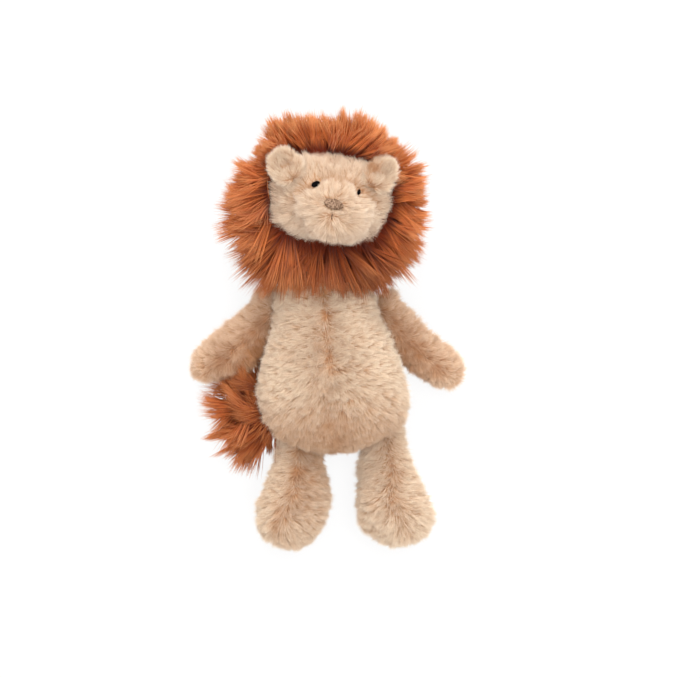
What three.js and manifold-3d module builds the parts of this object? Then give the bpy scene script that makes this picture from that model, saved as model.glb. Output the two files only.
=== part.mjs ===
import * as THREE from "three";
import { mergeVertices } from "three/addons/utils/BufferGeometryUtils.js";
import Module from "manifold-3d";

const wasm = await Module();
wasm.setup();

// A stuffed lion that rattles, lying on its back. Lengths are in millimetres and
// angles in degrees. +Z is the way the belly and the face look, +Y runs to the
// crown of the head, and +X is on the right of someone who looks down on the toy.
// The origin is on the flat of the back. Left and right are as seen from above.

// Cloth, gaps and cuts
const plush = 5; // cloth and pile together
const seamGap = 0.3; // between sewn pieces
const swingGap = 0.5; // between pieces that turn in one another
const flatCut = 0.5; // depth of the flats that the toy lies on
const weld = 0.001; // points closer than this are one point
const overrun = 200; // how far a cutting block passes what it cuts

// Points round a ring, which pieces that fit one another share
const bodySides = 16; // a multiple of 4, so that one row of points lies at the bottom
const limbSides = 12;
const tuftSides = 16;
const roundSides = 16;
const openingSides = 24;
const headSides = 16;
const headRows = 10;
const earSides = 12;
const earRows = 7;
const gatherSteps = 2;
const stemSteps = 5;

// Body
const bodyLength = 110.5;
const bodyWide = 98;
const bodyDeep = 68;
const bodyBottom = -53.5; // y of the lowest point between the legs
const neckLean = -5; // how far the neck end leans to the left
const sideSeamHeight = 27; // above the flat of the back

// Rattle capsule and its beads
const capsuleRadius = 17;
const capsuleWall = 1.6;
const capsulePlace = { x: 0, y: -9 };
const lapHeight = 3;
const beadRadius = 2.5;
const beadRingRadius = 4.8;
const beadCount = 5;

// Neck
const neckPlace = { x: -4, y: 57, z: 36 };
const neckBall = 16;
const neckStubRadius = 9;
const gatherThick = 2.2; // the gathered band at the root of a limb or of the head
const gatherFrom = 124; // angle from the way out of the body to the band's near edge
const gatherTo = 158;

// Head
const headPlace = { x: -1.5, y: 105, z: 46 };
const headWide = 84;
const headTall = 76;
const headDeep = 72;
const muzzlePlace = { x: -0.5, y: 97.5, z: 68 };
const muzzleWide = 50;
const muzzleTall = 38;
const muzzleDeep = 46;
const headRoll = -9;

// Embroidered features: centre, size and turn of each patch
const eyeThick = 1.6;
const noseThick = 1.4;
const mouthThick = 1.1;
const patches = {
  eye_left: { x: -10.8, y: 115.7, wide: 5, tall: 3.6, turn: 25, thick: eyeThick },
  eye_right: { x: 16.4, y: 110.7, wide: 3.4, tall: 3.6, turn: -20, thick: eyeThick },
  nose: { x: 0.7, y: 102.7, wide: 12.5, tall: 6.6, turn: -16, thick: noseThick },
  mouth_stitch: { x: -0.4, y: 95.4, wide: 1.3, tall: 7, turn: -6, thick: mouthThick },
};

// Ears
const earLong = 27;
const earThick = 9;
const earDish = 3;
const earSink = 1.5; // how far an ear's middle plane lies below its root on the head
const ears = {
  left: { x: -23.5, y: 118, angle: 130, wide: 26 },
  right: { x: 24.5, y: 112.5, angle: 52, wide: 24 },
};

// Mane
const maneCentre = { x: -6, y: 104.5 };
const maneWide = 134;
const maneTall = 117;
const maneDeep = 73;
const manePower = 2.7; // 2 is an ellipse, and more is squarer
const lockCount = 14;
const lockDepth = 1.6;
const faceWide = 78;
const faceTall = 57;
const maneWedges = {
  mane_crown: [45, 135],
  mane_left: [135, 228],
  mane_bib: [228, 312],
  mane_right: [312, 405],
};
const hemLine = 60; // y below which the mane only hangs in front
const bibUnderside = 66;
const backPanelTop = 20;

// Arms and legs: each turns on a ball at its root, on the edge of the body. The root's
// place is given across and along the body, as shares of its half width and its length.
const armHeight = 24.5; // of an arm's root above the flat of the back
const armThick = 29;
const armBall = 15;
const armSlope = -6.5;
const legBall = 15;
const limbs = {
  arm_left: {
    rootShares: [-0.857, 0.727],
    height: armHeight,
    angle: 218.5,
    slope: armSlope,
    long: 59,
    wide: 38,
    thick: armThick,
    ball: armBall,
    bodySide: 168, // the way that the body looks out at this limb
  },
  arm_right: {
    rootShares: [0.763, 0.725],
    height: armHeight,
    angle: -43.5,
    slope: armSlope,
    long: 61,
    wide: 33,
    thick: armThick,
    ball: armBall,
    bodySide: 16,
  },
  leg_left: {
    rootShares: [-0.418, 0.068],
    angle: 264.5,
    slope: 0,
    long: 72.5,
    wide: 47,
    thick: 49.5,
    ball: legBall,
    bodySide: 262,
  },
  leg_right: {
    rootShares: [0.622, 0.081],
    angle: 279.8,
    slope: 0,
    long: 74,
    wide: 50,
    thick: 50.5,
    ball: legBall,
    bodySide: 280,
  },
};

// Tail
const tailRootShares = [-0.735, 0.195];
const tailHeight = 11;
const tailBall = 5.5;
const tailStemRadius = 4.2;
const tailAngle = 192;
const tuftStart = 11; // from the pivot
const tuftLong = 36;
const tuftWide = 44;
const tuftHeight = 24;

// How far the joints turn, from 0 as the toy lies
const armSpreadRange = 25;
const armLiftRange = 40;
const legSpreadRange = 15;
const legLiftRange = 40;
const tailLiftRange = 20;

// Outlines, as shares of the sizes above. The first number of a row is the share
// of the length, and the others are shares of half the width and half the depth.
const bodyShares = [
  [0.0, 0.1, 0.1, 0],
  [0.022, 0.45, 0.42, 0],
  [0.06, 0.69, 0.68, 0],
  [0.12, 0.83, 0.86, 0],
  [0.2, 0.95, 0.96, 0],
  [0.3, 1.0, 1.0, 0],
  [0.43, 0.97, 1.0, 0.1],
  [0.6, 0.88, 0.995, 0.4],
  [0.77, 0.745, 0.89, 0.75],
  [0.91, 0.62, 0.79, 0.95],
  [0.975, 0.46, 0.62, 1],
  [1.0, 0.2, 0.26, 1],
];
const armShares = [
  [0.0, 0.82, 0.95],
  [0.15, 0.95, 1.0],
  [0.45, 1.0, 1.0],
  [0.7, 0.96, 1.0],
  [0.86, 0.86, 0.9],
  [0.95, 0.6, 0.66],
  [0.99, 0.3, 0.33],
];
const legShares = [
  [0.0, 0.6, 0.58],
  [0.2, 0.69, 0.66],
  [0.4, 0.84, 0.82],
  [0.58, 0.96, 0.96],
  [0.72, 1.0, 1.0],
  [0.85, 0.87, 0.88],
  [0.94, 0.6, 0.62],
  [0.99, 0.26, 0.26],
];
// Rows of the mane: height, then the reach sideways, upwards and downwards
const maneShares = [
  [0.0, 0.62, 0.62, 0.55],
  [0.08, 0.8, 0.8, 0.7],
  [0.27, 0.94, 0.94, 0.82],
  [0.5, 1.0, 1.0, 0.92],
  [0.7, 0.95, 0.95, 1.0],
  [0.84, 0.86, 0.85, 1.0],
  [0.94, 0.74, 0.72, 1.0],
  [1.0, 0.6, 0.56, 0.75],
];
const tuftShares = [
  [0.0, 0.36, 0.5],
  [0.2, 0.8, 0.86],
  [0.5, 1.0, 1.0],
  [0.75, 0.86, 0.84],
  [0.92, 0.52, 0.56],
  [1.0, 0.15, 0.2],
];

// Colours and surfaces
function cloth(colour, roughness) {
  return new THREE.MeshStandardMaterial({ color: colour, roughness, metalness: 0 });
}
const beige = cloth(0xd8bb95, 0.95);
const paleBeige = cloth(0xe4cdae, 0.95);
const rust = cloth(0xb2602c, 0.9);
const darkThread = cloth(0x16120f, 0.5);
const greyThread = cloth(0x8f8070, 0.7);
const wadding = cloth(0xf2efe9, 1);
const capsulePlastic = cloth(0xe9e6df, 0.4);
const beadPlastic = cloth(0xc9412f, 0.35);

const headwards = new THREE.Vector3(0, 1, 0);
const upwards = new THREE.Vector3(0, 0, 1);
const fineBall = new THREE.IcosahedronGeometry(1, 2);
const coarseBall = new THREE.IcosahedronGeometry(1, 1);
const half = 0.5;
const wholeTurn = 2 * Math.PI;
const quarterTurn = wholeTurn / 4;

function radians(angle) {
  return THREE.MathUtils.degToRad(angle);
}

function vector(place) {
  return new THREE.Vector3(place.x, place.y, place.z);
}

// A place that is given by shares of the body
function rootOf([across, along], height) {
  return new THREE.Vector3(across * bodyWide * half, bodyBottom + along * bodyLength, height);
}

// A leg lies on the flat of its underside, and an arm has a height of its own
function pivotOf(limb) {
  return rootOf(limb.rootShares, limb.height ?? limb.thick * half - flatCut);
}

const neckPivot = vector(neckPlace);
const headCentre = vector(headPlace);
const muzzleCentre = vector(muzzlePlace);
const tailPivot = rootOf(tailRootShares, tailHeight);
const capsuleCentre = new THREE.Vector3(capsulePlace.x, capsulePlace.y, bodyDeep * half);

// Solids: a closed geometry becomes one that can be cut and joined
function solid(geometry) {
  const bare = geometry.clone();
  bare.deleteAttribute("normal");
  bare.deleteAttribute("uv");
  const merged = mergeVertices(bare, weld);
  return new wasm.Manifold(
    new wasm.Mesh({
      numProp: 3,
      vertProperties: merged.attributes.position.array,
      triVerts: new Uint32Array(merged.index.array),
    }),
  );
}

function moved(shape, matrix) {
  return shape.transform(matrix.elements);
}

function joined(shapes) {
  return shapes.reduce((whole, shape) => whole.add(shape));
}

function addMesh(group, name, shape, material) {
  const { vertProperties, triVerts } = shape.getMesh();
  const geometry = new THREE.BufferGeometry();
  geometry.setAttribute("position", new THREE.BufferAttribute(vertProperties, 3));
  geometry.setIndex(new THREE.BufferAttribute(triVerts, 1));
  geometry.computeVertexNormals();
  const mesh = new THREE.Mesh(geometry, material);
  mesh.name = name;
  group.add(mesh);
}

// A closed skin through rings that each hold the same number of points, drawn in
// to the middle of the first ring and of the last
function loft(rings) {
  const sides = rings[0].length;
  const points = rings.flat();
  const faces = [];
  for (let ring = 1; ring < rings.length; ring++) {
    for (let side = 0; side < sides; side++) {
      const a = (ring - 1) * sides + side;
      const b = (ring - 1) * sides + ((side + 1) % sides);
      faces.push(a, b, a + sides, b, b + sides, a + sides);
    }
  }
  const middle = (ring) => ring.reduce((sum, p) => sum.add(p), new THREE.Vector3()).divideScalar(sides);
  points.push(middle(rings[0]), middle(rings[rings.length - 1]));
  const last = (rings.length - 1) * sides;
  for (let side = 0; side < sides; side++) {
    const next = (side + 1) % sides;
    faces.push(rings.length * sides, next, side);
    faces.push(rings.length * sides + 1, last + side, last + next);
  }
  const geometry = new THREE.BufferGeometry().setFromPoints(points);
  geometry.setIndex(faces);
  return solid(geometry);
}

// One ring in the plane through its centre that u and v span
function ellipseRing(centre, u, v, sides, power = 2) {
  const bend = (value) => Math.sign(value) * Math.abs(value) ** (2 / power);
  return Array.from({ length: sides }, (_, side) => {
    const turn = (side / sides) * wholeTurn;
    return centre
      .clone()
      .addScaledVector(u, bend(Math.cos(turn)))
      .addScaledVector(v, bend(Math.sin(turn)));
  });
}

function ball(centre, radius, geometry = fineBall) {
  return solid(geometry.clone().scale(radius, radius, radius).translate(...centre));
}

function ellipsoid(centre, wide, tall, deep, roll) {
  const shape = new THREE.SphereGeometry(1, headSides, headRows);
  shape.scale(wide * half, tall * half, deep * half).rotateZ(radians(roll));
  return solid(shape.translate(...centre));
}

// A block from a low corner to a high one, for cutting
function block(low, high) {
  const size = high.clone().sub(low);
  const centre = low.clone().add(high).multiplyScalar(half);
  return solid(new THREE.BoxGeometry(...size).translate(...centre));
}

const low = (x = -overrun, y = -overrun, z = -overrun) => new THREE.Vector3(x, y, z);
const high = (x = overrun, y = overrun, z = overrun) => new THREE.Vector3(x, y, z);
const belowFloor = block(low(), high(overrun, overrun, 0));

// A turn about an axis through a point, as a matrix
function turnAbout(point, axis, angle) {
  const back = new THREE.Matrix4().makeTranslation(point.clone().negate());
  const turn = new THREE.Matrix4().makeRotationAxis(axis, radians(angle));
  return new THREE.Matrix4().makeTranslation(point).multiply(turn).multiply(back);
}

// Limbs are shaped along their own line: x outwards from the pivot, y across, z up
function limbFrame(limb) {
  const turn = new THREE.Euler(0, radians(-limb.slope), radians(limb.angle), "ZYX");
  return new THREE.Matrix4().makeRotationFromEuler(turn).setPosition(pivotOf(limb));
}

function limbTube(limb, shares, shrink) {
  const reach = limb.long - shrink;
  const rings = shares.map(([along, wide, thick]) =>
    ellipseRing(
      new THREE.Vector3(along * reach, 0, 0),
      new THREE.Vector3(0, wide * (limb.wide * half - shrink), 0),
      new THREE.Vector3(0, 0, thick * (limb.thick * half - shrink)),
      limbSides,
    ),
  );
  return moved(loft(rings), limbFrame(limb));
}

// The ball at a limb's root is coarse inside, where nothing turns on it
function rootBall(limb, shrink) {
  return ball(pivotOf(limb), limb.ball - shrink, shrink > 0 ? coarseBall : fineBall);
}

// How a limb can stand: spread outwards about Z, then lifted about its own cross line
function limbMoves(limb, spread, lift) {
  const pivot = pivotOf(limb);
  const angle = radians(limb.angle);
  const outwards = Math.cos(angle) < 0 ? -1 : 1;
  const across = new THREE.Vector3(Math.sin(angle), -Math.cos(angle), 0);
  const raised = turnAbout(pivot, across, lift);
  return turnAbout(pivot, upwards, outwards * spread).multiply(raised);
}

// The body, smaller by a shrink all round, with no openings yet
function bodyRings(shrink) {
  const wide = bodyWide * half - shrink;
  const deep = bodyDeep * half - shrink;
  return bodyShares.map(([along, wideShare, deepShare, leanShare]) =>
    ellipseRing(
      new THREE.Vector3(
        leanShare * neckLean,
        bodyBottom + shrink + along * (bodyLength - 2 * shrink),
        bodyDeep * half - flatCut,
      ),
      new THREE.Vector3(-wideShare * wide, 0, 0),
      new THREE.Vector3(0, 0, deepShare * deep),
      bodySides,
    ),
  );
}

function socketRadius(ballRadius) {
  return ballRadius + gatherThick + 2 * swingGap;
}

// The room in the body that a leg takes when it is lifted
function legRoom(limb) {
  const fat = limbTube(limb, legShares, -swingGap);
  return joined([0, legSpreadRange].map((spread) => moved(fat, limbMoves(limb, spread, legLiftRange))));
}

function bodyForm(shrink) {
  let form = loft(bodyRings(shrink));
  const surface = shrink > 0 ? coarseBall : fineBall;
  for (const limb of Object.values(limbs)) {
    form = form.subtract(ball(pivotOf(limb), socketRadius(limb.ball) + shrink, surface));
  }
  form = form.subtract(ball(neckPivot, socketRadius(neckBall) + shrink, surface));
  form = form.subtract(ball(tailPivot, tailBall + swingGap + shrink, coarseBall));
  if (shrink > 0) return form;
  for (const lift of [0, tailLiftRange]) form = form.subtract(moved(tailStem(swingGap), tailMove(lift)));
  return form.subtract(legRoom(limbs.leg_left)).subtract(legRoom(limbs.leg_right));
}

// How far the body reaches past a point in one direction
function bodyReach(point, direction) {
  return Math.max(...bodyRings(0).flat().map((corner) => corner.sub(point).dot(direction)));
}

function wayOut(limb) {
  return new THREE.Vector3(1, 0, 0).applyAxisAngle(upwards, radians(limb.bodySide));
}

// An arm stays outside the plane that touches the body's side, however it is turned
function armForm(limb, shrink) {
  const pivot = pivotOf(limb);
  const reach = bodyReach(pivot, wayOut(limb)) + swingGap + shrink;
  const inside = block(low(), high(reach));
  const frame = new THREE.Matrix4().makeRotationZ(radians(limb.bodySide)).setPosition(pivot);
  let tube = limbTube(limb, armShares, shrink);
  for (const spread of [0, armSpreadRange]) {
    for (const lift of [0, armLiftRange]) {
      const place = limbMoves(limb, spread, lift).invert().multiply(frame);
      tube = tube.subtract(moved(inside, place));
    }
  }
  return tube.add(rootBall(limb, shrink));
}

function legForm(limb, shrink) {
  const floor = moved(belowFloor, new THREE.Matrix4().makeTranslation(0, 0, shrink));
  return limbTube(limb, legShares, shrink).add(rootBall(limb, shrink)).subtract(floor);
}

// Body

function addBody(group) {
  const skin = bodyForm(0).subtract(bodyForm(plush)).subtract(belowFloor);
  const seam = seamGap * half;
  const front = skin.intersect(block(low(-overrun, -overrun, sideSeamHeight + seam), high()));
  addMesh(group, "body_front_left", front.intersect(block(low(), high(-seam))), beige);
  addMesh(group, "body_front_right", front.intersect(block(low(seam), high())), beige);
  const back = skin.intersect(block(low(), high(overrun, overrun, sideSeamHeight - seam)));
  addMesh(group, "body_back", back, beige);
}

// Rattle and wadding inside the body

function addCapsule(group) {
  const inner = capsuleRadius - capsuleWall;
  const shell = ball(capsuleCentre, capsuleRadius).subtract(
    ball(capsuleCentre, inner),
  );
  const middle = capsuleCentre.z;
  const lapMiddle = capsuleRadius - capsuleWall * half;
  const lapBand = block(
    low(-overrun, -overrun, middle - lapHeight),
    high(overrun, overrun, middle + seamGap),
  );
  const lip = shell
    .intersect(ball(capsuleCentre, lapMiddle - seamGap * half))
    .intersect(lapBand);
  const lipRoom = ball(capsuleCentre, lapMiddle + seamGap * half).intersect(
    block(low(-overrun, -overrun, middle - lapHeight - seamGap), high(overrun, overrun, middle)),
  );
  const upper = shell.intersect(block(low(-overrun, -overrun, middle), high()));
  addMesh(group, "capsule_upper", upper.add(lip), capsulePlastic);
  const lower = shell.intersect(block(low(), high(overrun, overrun, middle - seamGap)));
  addMesh(group, "capsule_lower", lower.subtract(lipRoom), capsulePlastic);
  const reach = inner - swingGap - beadRadius;
  const drop = Math.sqrt(reach ** 2 - beadRingRadius ** 2);
  for (let bead = 0; bead < beadCount; bead++) {
    const turn = (bead / beadCount) * wholeTurn;
    const centre = capsuleCentre.clone();
    centre.x += beadRingRadius * Math.cos(turn);
    centre.y += beadRingRadius * Math.sin(turn);
    centre.z -= drop;
    addMesh(group, "bead_" + (bead + 1), ball(centre, beadRadius, coarseBall), beadPlastic);
  }
}

function addBodyWadding(group) {
  const room = ball(capsuleCentre, capsuleRadius + seamGap);
  const filling = bodyForm(plush + seamGap).subtract(room);
  const seam = seamGap * half;
  const upper = block(low(-overrun, -overrun, capsuleCentre.z + seam), high());
  const lower = block(low(), high(overrun, overrun, capsuleCentre.z - seam));
  addMesh(group, "body_wadding_front", filling.intersect(upper), wadding);
  addMesh(group, "body_wadding_back", filling.intersect(lower), wadding);
}

// The gathered band round the ball at a root, made along +Y and then turned
function gatherBand(pivot, ballRadius, outwards) {
  const inner = ballRadius + swingGap;
  const outer = inner + gatherThick;
  const arc = (radius, step) => {
    const angle = radians(gatherFrom + ((gatherTo - gatherFrom) * step) / gatherSteps);
    return new THREE.Vector2(radius * Math.sin(angle), radius * Math.cos(angle));
  };
  const profile = [];
  for (let step = 0; step <= gatherSteps; step++) profile.push(arc(inner, step));
  for (let step = gatherSteps; step >= 0; step--) profile.push(arc(outer, step));
  profile.push(arc(inner, 0));
  const turn = new THREE.Quaternion().setFromUnitVectors(headwards, outwards);
  const shape = new THREE.LatheGeometry(profile, roundSides).applyQuaternion(turn).translate(...pivot);
  return solid(shape);
}

// Limbs

function addLimb(group, name, limb, form, panels) {
  const band = gatherBand(pivotOf(limb), limb.ball, wayOut(limb));
  addMesh(group, name + "_gather", band, beige);
  const skin = form(limb, 0).subtract(form(limb, plush));
  const seam = seamGap * half;
  const anticlockwise = moved(block(low(-overrun, seam), high()), limbFrame(limb));
  const clockwise = moved(block(low(), high(overrun, -seam)), limbFrame(limb));
  addMesh(group, name + panels[0], skin.intersect(anticlockwise), beige);
  addMesh(group, name + panels[1], skin.intersect(clockwise), beige);
  addMesh(group, name + "_wadding", form(limb, plush + seamGap), wadding);
}

// Head

function headShape(grow) {
  const grown = 2 * grow;
  return ellipsoid(headCentre, headWide + grown, headTall + grown, headDeep + grown, headRoll);
}

function muzzleShape(grow) {
  const grown = 2 * grow;
  return ellipsoid(muzzleCentre, muzzleWide + grown, muzzleTall + grown, muzzleDeep + grown, headRoll);
}

function neckStub(grow) {
  const height = headCentre.y - neckPivot.y;
  const radius = neckStubRadius + grow;
  const column = new THREE.CylinderGeometry(radius, radius, height, roundSides);
  column.translate(neckPivot.x, neckPivot.y + height * half, neckPivot.z);
  const top = block(low(-overrun, headCentre.y - headTall * half + 2 * plush + grow), high());
  return ball(neckPivot, neckBall + grow).add(solid(column)).subtract(top);
}

function addHead(group) {
  const stubRoom = neckStub(seamGap);
  const skin = headShape(0).subtract(headShape(-plush)).subtract(stubRoom);
  const seam = seamGap * half;
  const face = skin.intersect(block(low(-overrun, -overrun, headCentre.z + seam), high()));
  const back = skin.intersect(block(low(), high(overrun, overrun, headCentre.z - seam)));
  addMesh(group, "head_face", face, beige);
  addMesh(group, "head_back", back, beige);
  addMesh(group, "head_wadding", headShape(-plush - seamGap).subtract(stubRoom), wadding);
  addMesh(group, "neck_stub", neckStub(0), beige);
  addMesh(group, "muzzle", muzzleShape(0).subtract(headShape(seamGap)), paleBeige);
  for (const [name, patch] of Object.entries(patches)) {
    addMesh(group, name, patchShape(patch), name.startsWith("eye") ? darkThread : greyThread);
  }
  addMesh(group, "neck_gather", gatherBand(neckPivot, neckBall, headwards), beige);
}

// An embroidered patch that lies on the face and follows it
function patchShape(patch) {
  const skin = (grow) => headShape(grow).add(muzzleShape(grow));
  const column = new THREE.CylinderGeometry(1, 1, overrun, roundSides).rotateX(quarterTurn);
  column.scale(patch.wide * half, patch.tall * half, 1).rotateZ(radians(patch.turn));
  column.translate(patch.x, patch.y, headCentre.z + overrun * half);
  const raised = skin(seamGap + patch.thick).subtract(skin(seamGap));
  return raised.intersect(solid(column));
}

// Height of the head's front at a place in plan
function headHeight(place) {
  const roll = radians(-headRoll);
  const middle = new THREE.Vector2(headCentre.x, headCentre.y);
  const local = new THREE.Vector2(place.x, place.y).rotateAround(middle, roll).sub(middle);
  const share = 1 - (local.x / (headWide * half)) ** 2 - (local.y / (headTall * half)) ** 2;
  return headCentre.z + headDeep * half * Math.sqrt(share);
}

function earShape(ear, grow) {
  const body = new THREE.SphereGeometry(1, earSides, earRows);
  body.scale(earLong * half + grow, ear.wide * half + grow, earThick * half + grow);
  body.translate(earLong * half - earDish, 0, -earSink);
  const dishHeight = earLong + earThick * half - earSink - earDish;
  const dish = ball(new THREE.Vector3(earLong * half, 0, dishHeight), earLong);
  const cupped = grow > 0 ? solid(body) : solid(body).subtract(dish);
  const place = new THREE.Matrix4().makeRotationZ(radians(ear.angle));
  place.setPosition(ear.x, ear.y, headHeight(ear));
  return moved(cupped, place);
}

function addEars(group) {
  for (const [side, ear] of Object.entries(ears)) {
    const shape = earShape(ear, 0).subtract(headShape(swingGap)).subtract(muzzleShape(swingGap));
    addMesh(group, "ear_" + side, shape, beige);
  }
}

// Mane

function maneBlank() {
  const sides = 2 * lockCount;
  const bend = (value) => Math.sign(value) * Math.abs(value) ** (2 / manePower);
  const rings = maneShares.map(([height, wide, up, down]) =>
    Array.from({ length: sides }, (_, side) => {
      const turn = (side / sides) * wholeTurn;
      const lock = side % 2 ? -lockDepth : 0;
      const across = bend(Math.cos(turn)) * (maneWide * half + lock) * wide;
      const along = bend(Math.sin(turn)) * (maneTall * half + lock);
      const reach = along > 0 ? along * up : along * down;
      return new THREE.Vector3(maneCentre.x + across, maneCentre.y + reach, height * maneDeep);
    }),
  );
  return loft(rings);
}

function faceOpening() {
  const place = (z) => new THREE.Vector3(headCentre.x, headCentre.y, z);
  const u = new THREE.Vector3(faceWide * half, 0, 0);
  const v = new THREE.Vector3(0, faceTall * half, 0);
  return loft([
    ellipseRing(place(headCentre.z), u, v, openingSides, manePower),
    ellipseRing(place(headCentre.z + overrun), u, v, openingSides, manePower),
  ]);
}

function maneForm() {
  const hem = block(low(), high(overrun, hemLine, bibUnderside));
  let mane = maneBlank().subtract(hem).subtract(faceOpening()).subtract(headShape(seamGap));
  mane = mane.subtract(neckStub(swingGap));
  for (const ear of Object.values(ears)) mane = mane.subtract(earShape(ear, swingGap));
  return mane;
}

// A wedge of the mane between two angles round its centre, seen from above
function maneWedge(from, to) {
  const corner = (angle) => {
    const reach = overrun / Math.cos(radians((to - from) * half));
    return new THREE.Vector2(reach * Math.cos(radians(angle)), reach * Math.sin(radians(angle)));
  };
  const shape = new THREE.Shape([new THREE.Vector2(), corner(from), corner(to)]);
  const wedge = new THREE.ExtrudeGeometry(shape, { depth: overrun, bevelEnabled: false });
  const middle = radians((from + to) * half);
  const inset = (seamGap * half) / Math.sin(radians((to - from) * half));
  wedge.translate(
    maneCentre.x + inset * Math.cos(middle),
    maneCentre.y + inset * Math.sin(middle),
    backPanelTop + seamGap * half,
  );
  return solid(wedge);
}

function addMane(group) {
  const mane = maneForm();
  for (const [name, [from, to]] of Object.entries(maneWedges)) {
    addMesh(group, name, mane.intersect(maneWedge(from, to)), rust);
  }
  const backBlock = block(low(), high(overrun, overrun, backPanelTop - seamGap * half));
  addMesh(group, "mane_back", mane.intersect(backBlock), rust);
}

// Tail: a stem on a ball, and a tuft round the end of the stem

const tailFrame = new THREE.Matrix4().makeRotationZ(radians(tailAngle)).setPosition(tailPivot);

function tailMove(lift) {
  return turnAbout(tailPivot, headwards, lift);
}

function stemTube(grow) {
  const length = tuftStart + tuftLong * half + grow;
  const path = new THREE.LineCurve3(new THREE.Vector3(), new THREE.Vector3(length, 0, 0));
  const round = new THREE.Shape().absarc(0, 0, tailStemRadius + grow, 0, wholeTurn);
  return solid(new THREE.ExtrudeGeometry(round, { steps: 1, curveSegments: stemSteps, extrudePath: path }));
}

function tailStem(grow) {
  const end = ball(new THREE.Vector3(), tailBall + grow, coarseBall);
  return moved(stemTube(grow).add(end), tailFrame);
}

function addTail(group) {
  addMesh(group, "tail_stem", tailStem(0), beige);
  const middle = tuftHeight * half - flatCut - tailPivot.z;
  const rings = tuftShares.map(([along, wide, high]) =>
    ellipseRing(
      new THREE.Vector3(tuftStart + along * tuftLong, 0, middle),
      new THREE.Vector3(0, wide * tuftWide * half, 0),
      new THREE.Vector3(0, 0, high * tuftHeight * half),
      tuftSides,
    ),
  );
  const tuft = moved(loft(rings).subtract(stemTube(seamGap)), tailFrame);
  addMesh(group, "tail_tuft", tuft.subtract(belowFloor), rust);
}

const toy = new THREE.Group();
addBody(toy);
addCapsule(toy);
addBodyWadding(toy);
addHead(toy);
addEars(toy);
addMane(toy);
addLimb(toy, "arm_left", limbs.arm_left, armForm, ["_lower_panel", "_upper_panel"]);
addLimb(toy, "arm_right", limbs.arm_right, armForm, ["_upper_panel", "_lower_panel"]);
addLimb(toy, "leg_left", limbs.leg_left, legForm, ["_inner_panel", "_outer_panel"]);
addLimb(toy, "leg_right", limbs.leg_right, legForm, ["_outer_panel", "_inner_panel"]);
addTail(toy);

export default toy;
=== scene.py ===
# %% [markdown]
# A stuffed lion rattle, seen from straight above. Its cloth is plush, and nearly all that an
# eye meets is pile: short and pale on the body, long and rust-coloured in the mane and the
# tail. So the lesson has three steps: stuff a cloth skin, comb it, and let the pile grow.

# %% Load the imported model
import math

import bmesh
import bpy
import numpy as np
from mathutils import Matrix, Vector


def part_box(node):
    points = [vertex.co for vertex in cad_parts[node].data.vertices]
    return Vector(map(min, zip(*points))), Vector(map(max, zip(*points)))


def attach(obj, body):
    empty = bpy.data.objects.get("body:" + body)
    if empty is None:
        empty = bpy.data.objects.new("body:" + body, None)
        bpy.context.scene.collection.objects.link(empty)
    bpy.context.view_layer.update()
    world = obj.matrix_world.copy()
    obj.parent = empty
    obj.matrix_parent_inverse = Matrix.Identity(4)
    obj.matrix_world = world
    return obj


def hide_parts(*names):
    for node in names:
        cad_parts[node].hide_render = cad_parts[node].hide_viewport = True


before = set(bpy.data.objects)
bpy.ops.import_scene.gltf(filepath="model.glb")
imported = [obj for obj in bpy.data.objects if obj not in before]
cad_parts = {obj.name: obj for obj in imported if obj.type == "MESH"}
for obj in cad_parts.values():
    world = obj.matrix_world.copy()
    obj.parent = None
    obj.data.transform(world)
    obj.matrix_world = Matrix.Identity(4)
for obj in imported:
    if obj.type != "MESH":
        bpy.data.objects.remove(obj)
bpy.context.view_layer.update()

MM = 0.001

# %% [markdown]
# Both the shaders and the pile are made of nodes. A wire stands for one socket, so that sums
# can be written as Python sums. Numbers go through Math nodes and vectors through Vector Math.


# %% Wires and graphs
def is_vector(value):
    if isinstance(value, Wire):
        return value.socket.type in ("VECTOR", "RGBA")
    return isinstance(value, tuple)


def arithmetic(operation, swapped=False):
    """A Python operator between a wire and another wire, a number or a vector."""
    def act(wire, other):
        return wire.graph.sum(operation, *((other, wire) if swapped else (wire, other)))
    return act


class Wire:
    """One output socket, which can stand in a sum."""

    def __init__(self, graph, socket):
        self.graph = graph
        self.socket = socket

    def also(self, name):
        """Another output of the same node."""
        return Wire(self.graph, self.socket.node.outputs[name])

    __add__, __radd__ = arithmetic("ADD"), arithmetic("ADD", True)
    __sub__, __rsub__ = arithmetic("SUBTRACT"), arithmetic("SUBTRACT", True)
    __mul__, __rmul__ = arithmetic("MULTIPLY"), arithmetic("MULTIPLY", True)
    __pow__ = arithmetic("POWER")


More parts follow.
